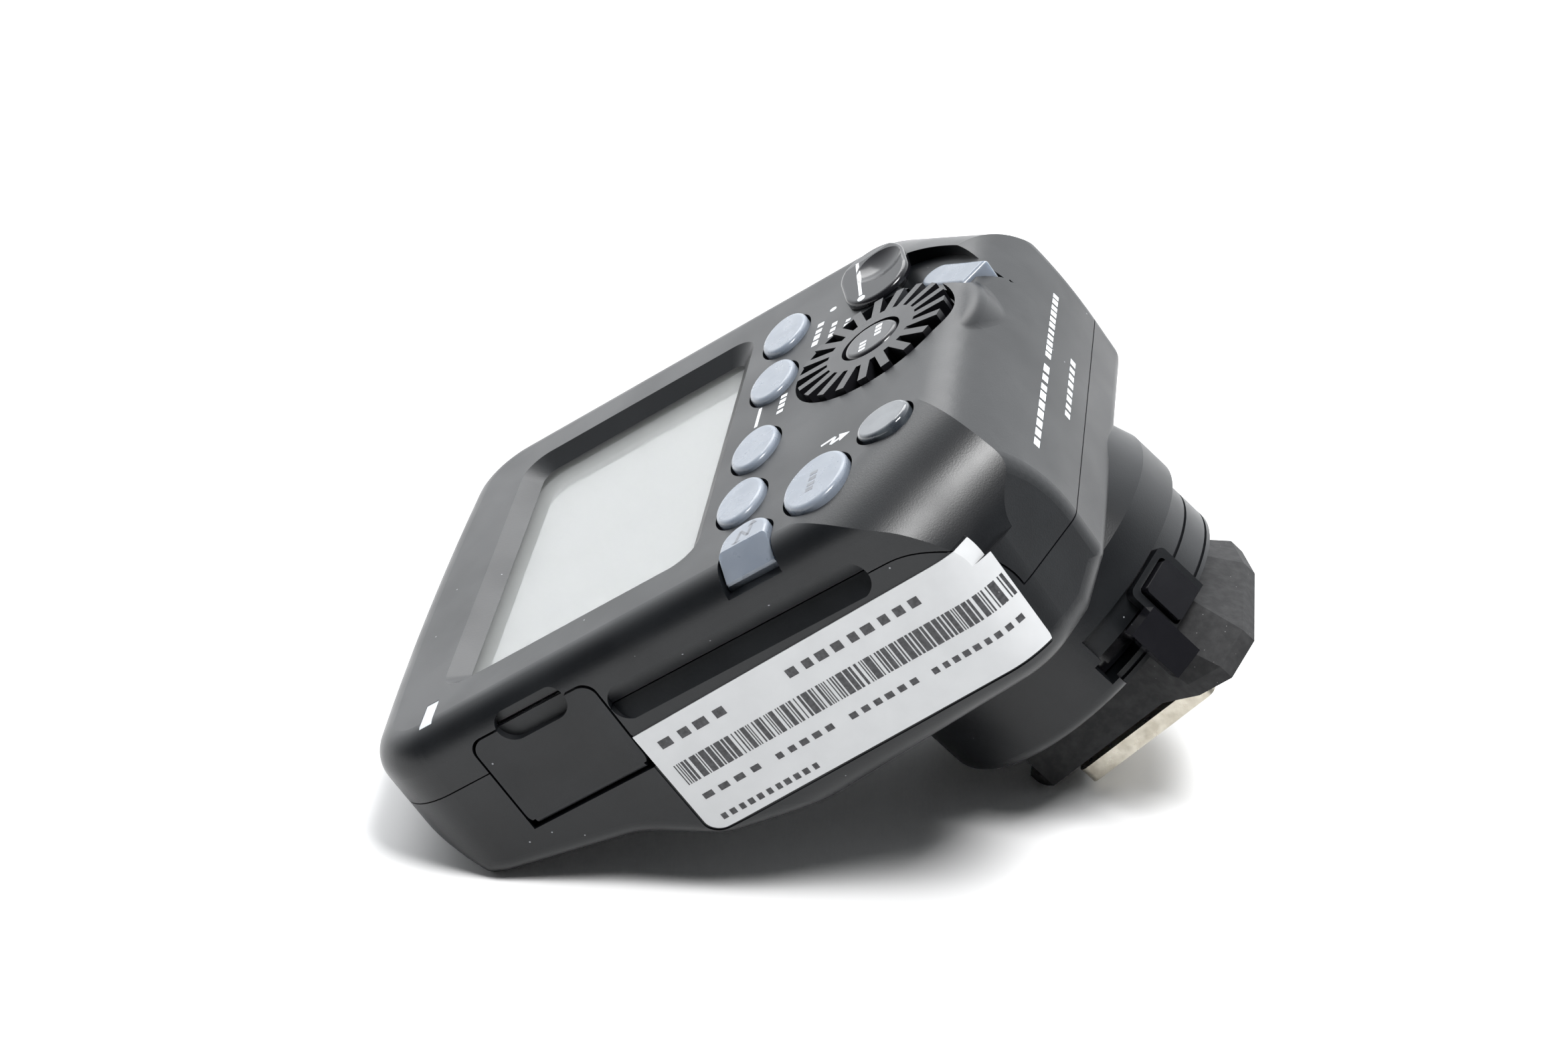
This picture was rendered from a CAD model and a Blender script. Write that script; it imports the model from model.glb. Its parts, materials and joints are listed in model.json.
"""A wireless flash trigger lying on a white sweep: finish, printed marks, light and camera.

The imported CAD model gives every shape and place. Places are in millimetres in the unit's own
frame, with x across the face, y up the display and z out of the face, unless a comment says
that they are in metres. Texture scales are in features per metre.
"""
import json
import math
import random

import bmesh
import bpy
from mathutils import Matrix, Vector
from mathutils.bvhtree import BVHTree


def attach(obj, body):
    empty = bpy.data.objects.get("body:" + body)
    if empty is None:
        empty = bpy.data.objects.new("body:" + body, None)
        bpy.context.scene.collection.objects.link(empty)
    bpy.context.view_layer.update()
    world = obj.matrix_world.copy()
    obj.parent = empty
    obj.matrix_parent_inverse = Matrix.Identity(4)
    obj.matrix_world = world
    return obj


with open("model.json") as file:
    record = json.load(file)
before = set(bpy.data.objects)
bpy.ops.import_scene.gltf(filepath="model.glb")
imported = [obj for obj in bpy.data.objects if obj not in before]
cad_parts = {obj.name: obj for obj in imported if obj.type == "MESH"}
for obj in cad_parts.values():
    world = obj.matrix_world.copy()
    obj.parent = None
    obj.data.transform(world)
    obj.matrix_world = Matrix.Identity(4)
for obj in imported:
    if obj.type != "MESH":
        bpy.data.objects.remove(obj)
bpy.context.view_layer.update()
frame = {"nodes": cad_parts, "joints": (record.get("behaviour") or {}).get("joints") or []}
nodes = frame["nodes"]
joints = {joint["name"]: joint for joint in frame["joints"]}

# ---- the unit's own frame, from the dial's axis ------------------------------------------------
MM = 0.001
DIAL_PLACE = (4.0, -18.4)
OUT = Vector(joints["dial_turn"]["axis"]).normalized()
ACROSS = Vector((1, 0, 0))
UP = OUT.cross(ACROSS).normalized()
INWARD = -OUT


def in_unit(x, y, z):
    """A direction or a step given in the unit's own frame."""
    return ACROSS * x + UP * y + OUT * z


ORIGIN = Vector(joints["dial_turn"]["pos_m"]) - in_unit(*DIAL_PLACE, 0) * MM


def place(x, y, z):
    """A point of the unit's own frame, in the scene's metres."""
    return ORIGIN + in_unit(x, y, z) * MM


# ---- material helpers --------------------------------------------------------------------------
# sockets of a Mix node that are told apart only by their index when it mixes colours
MIX_FIRST_COLOR = 6
MIX_SECOND_COLOR = 7
MIX_RESULT_COLOR = 2


def shader_of(material):
    return material.node_tree.nodes["Principled BSDF"]


def new_material(name, color, roughness, **sockets):
    """A plain material; the other sockets are named with _ for a space."""
    material = bpy.data.materials.new(name)
    material.use_nodes = True
    shader = shader_of(material)
    shader.inputs["Base Color"].default_value = (*color, 1)
    shader.inputs["Roughness"].default_value = roughness
    for key, value in sockets.items():
        shader.inputs[key.replace("_", " ")].default_value = value
    return material


def add_node(material, kind, **settings):
    node = material.node_tree.nodes.new(kind)
    for key, value in settings.items():
        setattr(node, key, value)
    return node


def link(material, source, output, target, socket):
    material.node_tree.links.new(source.outputs[output], target.inputs[socket])


def noise(material, scale, detail=3.0, roughness=0.5):
    """Noise in the object's own coordinates."""
    coords = add_node(material, "ShaderNodeTexCoord")
    node = add_node(material, "ShaderNodeTexNoise")
    node.inputs["Scale"].default_value = scale
    node.inputs["Detail"].default_value = detail
    node.inputs["Roughness"].default_value = roughness
    link(material, coords, "Object", node, "Vector")
    return node


def ramp(material, source, output, low, high):
    """Maps a value through a ramp between two (position, colour) stops."""
    node = add_node(material, "ShaderNodeValToRGB")
    for element, (position, color) in zip(node.color_ramp.elements, (low, high)):
        element.position = position
        element.color = (*color, 1)
    link(material, source, output, node, "Fac")
    return node


def grain(material, scale, depth, strength=0.4):
    """Fine moulded grain as bump; depth is in metres."""
    fine = noise(material, scale, 4.0, 0.6)
    bump = add_node(material, "ShaderNodeBump")
    bump.inputs["Strength"].default_value = strength
    bump.inputs["Distance"].default_value = depth
    link(material, fine, "Fac", bump, "Height")
    link(material, bump, "Normal", shader_of(material), "Normal")


def mottle(material, scale, dark, light, low=0.35, high=0.65):
    """Colour that drifts between two tones; low and high are the noise values that give them."""
    drift = noise(material, scale, 4.0)
    tones = ramp(material, drift, "Fac", (low, dark), (high, light))
    link(material, tones, "Color", shader_of(material), "Base Color")
    return tones


def vary_roughness(material, scale, smooth, rough):
    drift = noise(material, scale)
    tones = ramp(material, drift, "Fac", (0.35, (smooth,) * 3), (0.65, (rough,) * 3))
    link(material, tones, "Color", shader_of(material), "Roughness")


def specks(material, tones, scale, size, color, least=0.72):
    """Dust over the colour that tones gives, in the cells whose random value is above least."""
    coords = add_node(material, "ShaderNodeTexCoord")
    cells = add_node(material, "ShaderNodeTexVoronoi")
    cells.inputs["Scale"].default_value = scale
    link(material, coords, "Object", cells, "Vector")
    spot = ramp(material, cells, "Distance", (size * 0.6, (1, 1, 1)), (size, (0, 0, 0)))
    split = add_node(material, "ShaderNodeSeparateColor")
    link(material, cells, "Color", split, "Color")
    chosen = add_node(material, "ShaderNodeMath", operation="GREATER_THAN")
    chosen.inputs[1].default_value = least
    link(material, split, "Red", chosen, 0)
    mask = add_node(material, "ShaderNodeMath", operation="MULTIPLY")
    link(material, spot, "Color", mask, 0)
    link(material, chosen, "Value", mask, 1)
    mix = add_node(material, "ShaderNodeMix", data_type="RGBA")
    mix.inputs[MIX_SECOND_COLOR].default_value = (*color, 1)
    link(material, mask, "Value", mix, "Factor")
    link(material, tones, "Color", mix, MIX_FIRST_COLOR)
    link(material, mix, MIX_RESULT_COLOR, shader_of(material), "Base Color")


def mottled(name, scale, dark, light, roughness, **sockets):
    """A material whose colour drifts between two tones."""
    material = new_material(name, light, roughness, **sockets)
    mottle(material, scale, dark, light)
    return material


def brushed(name, scale, color, smooth, rough, **sockets):
    """A plain colour whose roughness drifts, as on worn metal or polished plastic."""
    material = new_material(name, color, (smooth + rough) / 2, **sockets)
    vary_roughness(material, scale, smooth, rough)
    return material


def grained(name, color, roughness):
    """Plain moulded plastic inside the case."""
    material = new_material(name, color, roughness)
    grain(material, 4000, 0.00002, 0.3)
    return material


def case_material(name, dark, light, roughness):
    """Dusty black plastic with the fine moulded grain of the case."""
    material = new_material(name, light, roughness, Specular_IOR_Level=0.4)
    tones = mottle(material, 160, dark, light)
    specks(material, tones, 420, 0.05, (0.30, 0.31, 0.33))
    vary_roughness(material, 90, roughness - 0.03, roughness + 0.05)
    grain(material, 5200, 0.00003, 0.35)
    return material


# ---- plastics of the case and foot -------------------------------------------------------------
case_plastic = case_material("case_plastic", (0.0038, 0.0045, 0.0058), (0.0060, 0.0070, 0.0086), 0.36)
cover_plastic = case_material("cover_plastic", (0.006, 0.0068, 0.008), (0.009, 0.010, 0.012), 0.5)
dial_plastic = case_material("dial_plastic", (0.005, 0.005, 0.006), (0.008, 0.008, 0.010), 0.3)
foot_plastic = case_material("foot_plastic", (0.014, 0.014, 0.015), (0.021, 0.021, 0.022), 0.5)
insert_plastic = grained("insert_plastic", (0.02, 0.02, 0.02), 0.45)
gloss_black = brushed("gloss_black", 300, (0.008, 0.008, 0.010), 0.12, 0.24)
grain(gloss_black, 2500, 0.00001, 0.1)

skirt_rubber = new_material("skirt_rubber", (0.024, 0.024, 0.025), 0.8)
skirt_tones = mottle(skirt_rubber, 900, (0.010, 0.010, 0.011), (0.024, 0.024, 0.025), 0.38, 0.72)
specks(skirt_rubber, skirt_tones, 1500, 0.10, (0.16, 0.16, 0.16))
grain(skirt_rubber, 2600, 0.00006, 0.5)

# ---- keys, display and label -------------------------------------------------------------------
key_plastic = mottled(
    "key_translucent", 220, (0.165, 0.19, 0.23), (0.195, 0.22, 0.26), 0.26,
    Subsurface_Weight=0.35, Subsurface_Scale=0.002, Subsurface_Radius=(0.8, 0.9, 1.0),
    Coat_Weight=0.25, Coat_Roughness=0.12,
)
vary_roughness(key_plastic, 500, 0.24, 0.36)
lamp_plastic = mottled(
    "lamp_clear", 500, (0.05, 0.06, 0.075), (0.10, 0.115, 0.13), 0.12,
    Transmission_Weight=0.35, IOR=1.49, Coat_Weight=0.5, Coat_Roughness=0.05,
)
glass = brushed(
    "window_clear", 120, (0.93, 0.95, 0.94), 0.05, 0.12,
    Transmission_Weight=0.92, IOR=1.45, Alpha=0.35,
)
panel = mottled("display_grey", 60, (0.205, 0.21, 0.203), (0.225, 0.23, 0.222), 0.35)
grain(panel, 9000, 0.00001, 0.15)
diffuser = mottled("white_diffuser", 100, (0.76, 0.77, 0.77), (0.82, 0.83, 0.83), 0.6)
lens = mottled("lens_pale", 900, (0.62, 0.66, 0.70), (0.70, 0.74, 0.78), 0.35, Transmission_Weight=0.2)
paper = mottled("label_paper", 300, (0.60, 0.61, 0.62), (0.63, 0.64, 0.65), 0.55)
grain(paper, 6000, 0.00001, 0.15)

# ---- what is inside ----------------------------------------------------------------------------
keypad = mottled("keypad_rubber", 200, (0.32, 0.33, 0.35), (0.38, 0.39, 0.41), 0.75)
board = mottled("board_green", 700, (0.015, 0.09, 0.035), (0.03, 0.16, 0.07), 0.4)
cell_wrap = mottled("cell_wrap", 90, (0.08, 0.09, 0.10), (0.13, 0.14, 0.15), 0.25, Metallic=0.6)
tray = grained("tray_plastic", (0.02, 0.02, 0.022), 0.6)
socket_black = grained("socket_black", (0.012, 0.012, 0.013), 0.5)

# ---- metals ------------------------------------------------------------------------------------
can = brushed("module_can", 500, (0.6, 0.6, 0.6), 0.25, 0.4, Metallic=1.0)
spring_steel = brushed("spring_steel", 900, (0.62, 0.62, 0.60), 0.22, 0.4, Metallic=1.0)
pin_metal = brushed("pin_metal", 900, (0.62, 0.62, 0.62), 0.2, 0.4, Metallic=1.0)
gold = brushed("contact_gold", 1200, (0.83, 0.62, 0.30), 0.2, 0.45, Metallic=1.0)
screw_steel = brushed("screw_steel", 900, (0.10, 0.10, 0.105), 0.3, 0.5, Metallic=0.9)
shoe_metal = mottled("shoe_metal", 700, (0.50, 0.46, 0.38), (0.68, 0.64, 0.55), 0.34, Metallic=0.85)
vary_roughness(shoe_metal, 900, 0.25, 0.5)

# ---- inks --------------------------------------------------------------------------------------
white_ink = mottled("white_ink", 2000, (0.62, 0.65, 0.68), (0.78, 0.80, 0.83), 0.5)
key_ink = mottled("key_ink", 2000, (0.12, 0.13, 0.15), (0.17, 0.18, 0.20), 0.4)
label_ink = mottled("label_ink", 2500, (0.025, 0.025, 0.028), (0.06, 0.06, 0.065), 0.5)

# the function keys aren't listed: they take the keys' plastic, as every other node would
FINISH = {
    "upper_case": case_plastic, "lower_case": case_plastic, "battery_door": case_plastic,
    "terminal_cover": cover_plastic, "select_dial": dial_plastic, "set_key": gloss_black,
    "power_lever": gloss_black, "lock_lever": gloss_black, "release_key": gloss_black,
    "mode_key": key_plastic, "radio_key": key_plastic, "back_key": key_plastic,
    "lamp_key": lamp_plastic, "display_glass": glass, "display_panel": panel,
    "backlight": diffuser, "link_lens": lens, "keypad_sheet": keypad, "main_board": board,
    "radio_module": can, "battery_tray": tray, "battery_cell_1": cell_wrap,
    "battery_cell_2": cell_wrap, "battery_contacts": spring_steel, "door_contact": spring_steel,
    "door_pin": spring_steel, "remote_socket": socket_black, "foot_block": foot_plastic,
    "contact_insert": insert_plastic, "shoe_plate": shoe_metal, "lock_pin": pin_metal,
    "centre_contact": gold, "data_contacts": gold, "rubber_skirt": skirt_rubber,
    "foot_screws": screw_steel, "case_screws": screw_steel, "paper_label": paper,
}
for name, obj in nodes.items():
    obj.data.materials.clear()
    obj.data.materials.append(FINISH.get(name, key_plastic))

# ---- printed marks -----------------------------------------------------------------------------
INK_HEIGHT = 0.012 * MM           # how far a mark stands out of its surface, in metres
ABOVE_FACE = 6                    # rays to the face start this far out
BESIDE_BODY = -60                 # rays to the walls start at this x or y
DISC_SIDES = 12
STROKE = 0.42                     # width of the face's lines
LABEL_MIDDLE = (-7.75, -17.2)     # y and z of the label's middle
LABEL_TURN = math.radians(-2.1)


def surface_of(node):
    """A tree of a CAD node's faces, in metres, that marks are laid on."""
    obj = nodes[node]
    points = [obj.matrix_world @ vertex.co for vertex in obj.data.vertices]
    return BVHTree.FromPolygons(points, [tuple(face.vertices) for face in obj.data.polygons])


def add_mark(mesh, tree, outline, to_point, direction):
    """Lays one convex outline on a surface as a thin closed slab, unless a corner misses it."""
    over, under = [], []
    middle = [sum(value) / len(outline) for value in zip(*outline)]
    for point in [*outline, middle]:
        found, normal, _, _ = tree.ray_cast(to_point(*point), direction)
        if found is None:
            return
        if normal.dot(direction) > 0:
            normal = -normal
        over.append(mesh.verts.new(found + normal * INK_HEIGHT))
        under.append(mesh.verts.new(found - normal * INK_HEIGHT))
    count = len(outline)
    for index in range(count):
        following = (index + 1) % count
        mesh.faces.new((over[index], over[following], over[count]))
        mesh.faces.new((under[following], under[index], under[count]))
        mesh.faces.new((over[following], over[index], under[index], under[following]))


def print_marks(name, node, body, outlines, to_point, direction, material):
    """One printed piece made of many outlines, riding on the body it is printed on."""
    tree = surface_of(node)
    mesh = bmesh.new()
    for outline in outlines:
        add_mark(mesh, tree, outline, to_point, direction)
    bmesh.ops.recalc_face_normals(mesh, faces=mesh.faces)
    data = bpy.data.meshes.new(name)
    mesh.to_mesh(data)
    mesh.free()
    data.materials.append(material)
    piece = bpy.data.objects.new(name, data)
    bpy.context.collection.objects.link(piece)
    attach(piece, body)


def bar(start, end, width, pieces=1):
    """A straight stroke between two points, cut into pieces so that it can follow a curve."""
    start, end = Vector(start), Vector(end)
    side = (end - start).normalized().orthogonal() * (width / 2)
    result = []
    for index in range(pieces):
        low = start.lerp(end, index / pieces)
        high = start.lerp(end, (index + 1) / pieces)
        result.append([tuple(low + side), tuple(low - side), tuple(high - side), tuple(high + side)])
    return result


def disc(centre, radius):
    turns = [index * 2 * math.pi / DISC_SIDES for index in range(DISC_SIDES)]
    return [[(centre[0] + radius * math.cos(turn), centre[1] + radius * math.sin(turn)) for turn in turns]]


def dashes(start, end, height, count, seed, gap=0.28):
    """A row of blocks that stands for a printed word, with no lettering in it."""
    chance = random.Random(seed)
    start, end = Vector(start), Vector(end)
    along = (end - start) / count
    result = []
    for index in range(count):
        low = start + along * (index + gap / 2)
        high = start + along * (index + 1 - gap / 2)
        result += bar(low, low.lerp(high, chance.uniform(0.75, 1.0)), height * 0.55)
    return result


def on_face(x, y):
    return place(x, y, ABOVE_FACE)


def on_front(x, z):
    return place(x, BESIDE_BODY, z)


def on_label(along, over):
    """A ray's start for a place on the label, measured along and across it from its middle."""
    y = LABEL_MIDDLE[0] + along * math.cos(LABEL_TURN) - over * math.sin(LABEL_TURN)
    z = LABEL_MIDDLE[1] + along * math.sin(LABEL_TURN) + over * math.cos(LABEL_TURN)
    return place(BESIDE_BODY, y, z)


def face_marks():
    """The bracket between two function keys, five words and the zigzag arrow of the lamp key."""
    marks = bar((7.4, -3.85), (-1.4, -3.85), STROKE, 4) + bar((3.2, -3.9), (3.2, -5.7), STROKE)
    marks += dashes((-1.2, -6.9), (4.7, -7.0), 1.5, 5, 1)
    marks += dashes((11.9, -9.6), (18.0, -9.9), 1.5, 4, 2) + disc((19.6, -11.2), 0.45)
    marks += dashes((10.6, -11.7), (15.8, -12.0), 1.3, 4, 3)
    marks += dashes((12.6, -13.7), (14.6, -14.0), 1.1, 2, 4)
    marks += bar((-15.6, -14.3), (-15.2, -16.0), 0.4) + bar((-15.2, -16.0), (-16.4, -15.6), 0.4)
    marks += bar((-16.4, -15.6), (-15.9, -17.0), 0.4)
    marks += [[(-16.7, -16.7), (-15.1, -16.5), (-15.8, -17.9)]]
    return marks


def front_marks():
    """Two rows of words on the roll-over."""
    marks = dashes((-18.0, -10.3), (0.4, -10.4), 1.45, 9, 5, 0.2)
    marks += dashes((1.9, -10.4), (17.6, -10.5), 1.45, 11, 6, 0.2)
    marks += dashes((-6.2, -14.1), (7.2, -14.1), 1.5, 8, 7, 0.22)
    return marks


def label_marks():
    """A band of bars of random widths along the label, and rows of words over and under it."""
    chance = random.Random(11)
    band_end = 20.2
    band_height = (-0.75, 2.0)
    marks = []
    position = -21.2
    while position < band_end:
        width = chance.choice((0.13, 0.13, 0.18, 0.3, 0.55, 0.75))
        middle = position + width / 2
        if position + width < band_end + 0.1:
            marks += bar((middle, band_height[0]), (middle, band_height[1]), width, 2)
        position += width + chance.choice((0.14, 0.16, 0.2, 0.34))
    marks += dashes((11.2, 4.7), (20.3, 4.7), 1.9, 4, 8, 0.3)
    marks += dashes((-12.9, 4.6), (4.1, 4.6), 1.9, 9, 9, 0.3)
    marks += dashes((-20.0, -3.0), (-8.6, -3.0), 1.3, 9, 10, 0.35)
    marks += dashes((-7.4, -2.9), (1.6, -2.9), 1.3, 6, 11, 0.35)
    marks += dashes((3.0, -2.8), (11.0, -2.8), 1.3, 5, 12, 0.35)
    marks += dashes((12.2, -2.7), (20.2, -2.7), 1.3, 4, 13, 0.35)
    marks += dashes((7.2, -5.8), (20.0, -5.7), 1.3, 11, 14, 0.35)
    return marks


def radio_marks():
    """A double-headed zigzag."""
    marks = bar((-29.4, -6.2), (-27.4, -6.6), 0.32) + bar((-27.4, -6.6), (-28.9, -7.6), 0.32)
    marks += bar((-28.9, -7.6), (-26.9, -7.9), 0.32)
    marks += [[(-29.2, -5.7), (-30.2, -6.1), (-29.3, -6.8)], [(-27.1, -7.4), (-26.1, -7.9), (-27.0, -8.5)]]
    return marks


mode_marks = dashes((-26.6, -14.7), (-22.2, -14.9), 1.6, 4, 15, 0.3)
set_marks = dashes((1.6, -17.6), (4.0, -17.6), 1.5, 3, 16) + dashes((3.6, -19.4), (6.2, -19.4), 1.5, 3, 17)
lever_marks = bar((16.2, -16.0), (23.6, -15.2), STROKE, 8) + disc((15.5, -16.1), 0.5)

print_marks("face_print", "upper_case", "case", face_marks(), on_face, INWARD, white_ink)
print_marks("front_print", "upper_case", "case", front_marks(), on_front, UP, white_ink)
print_marks("label_print", "paper_label", "case", label_marks(), on_label, ACROSS, label_ink)
print_marks("radio_print", "radio_key", "radio_key", radio_marks(), on_face, INWARD, key_ink)
print_marks("mode_print", "mode_key", "mode_key", mode_marks, on_face, INWARD, key_ink)
print_marks("set_print", "set_key", "set_key", set_marks, on_face, INWARD, white_ink)
print_marks("lever_print", "power_lever", "lever", lever_marks, on_face, INWARD, white_ink)

# ---- floor, world and lights, in the scene's metres --------------------------------------------
FLOOR_SIZE = 6
floor_material = mottled("floor_white", 3, (0.89, 0.89, 0.89), (0.91, 0.91, 0.91), 0.6)
bpy.ops.mesh.primitive_plane_add(size=FLOOR_SIZE, location=(0, 0, 0))
floor = bpy.context.object
floor.name = "floor"
floor.data.materials.append(floor_material)


def studio_world():
    """A cool white room, bright on its +X side and fading to dim on its -X side."""
    world = bpy.data.worlds.new("studio")
    bpy.context.scene.world = world
    world.use_nodes = True
    background = world.node_tree.nodes["Background"]
    background.inputs["Color"].default_value = (0.95, 0.975, 1.0, 1)
    direction = world.node_tree.nodes.new("ShaderNodeTexCoord")
    axes = world.node_tree.nodes.new("ShaderNodeSeparateXYZ")
    fade = world.node_tree.nodes.new("ShaderNodeMapRange")
    fade.interpolation_type = "SMOOTHSTEP"
    fade.inputs["From Min"].default_value = -0.3
    fade.inputs["From Max"].default_value = 0.75
    fade.inputs["To Min"].default_value = 0.08
    fade.inputs["To Max"].default_value = 1.9
    world.node_tree.links.new(direction.outputs["Generated"], axes.inputs["Vector"])
    world.node_tree.links.new(axes.outputs["X"], fade.inputs["Value"])
    world.node_tree.links.new(fade.outputs["Result"], background.inputs["Strength"])


def soft_light(name, location, size, power):
    """A rectangular light that points at the unit's middle."""
    data = bpy.data.lights.new(name, "AREA")
    data.shape = "RECTANGLE"
    data.size, data.size_y = size
    data.energy = power
    light = bpy.data.objects.new(name, data)
    light.location = location
    direction = Vector((0, 0, 0.02)) - light.location
    light.rotation_euler = direction.to_track_quat("-Z", "Y").to_euler()
    bpy.context.collection.objects.link(light)


studio_world()
soft_light("key_light", (-0.25, -0.35, 1.3), (0.45, 0.45), 23)
soft_light("far_light", (1.0, 0.3, 0.9), (0.9, 0.7), 9)
bpy.context.scene.view_settings.view_transform = "Standard"

# ---- camera, placed in the unit's own frame ----------------------------------------------------
CAMERA_PLACE = (-323.46, -137.28, 119.54)
CAMERA_VIEW = (0.86136, 0.36794, -0.35025)
CAMERA_RIGHT = (0.12031, -0.81762, -0.56305)

view = in_unit(*CAMERA_VIEW).normalized()
right = in_unit(*CAMERA_RIGHT)
right = (right - view * right.dot(view)).normalized()
top = right.cross(view)
camera_data = bpy.data.cameras.new("camera")
camera_data.sensor_width = 36
camera_data.lens = 79.06
camera_data.clip_start = 0.01
camera = bpy.data.objects.new("camera", camera_data)
turn = Matrix((right, top, -view)).transposed()
camera.matrix_world = Matrix.Translation(place(*CAMERA_PLACE)) @ turn.to_4x4()
bpy.context.collection.objects.link(camera)
bpy.context.scene.camera = camera
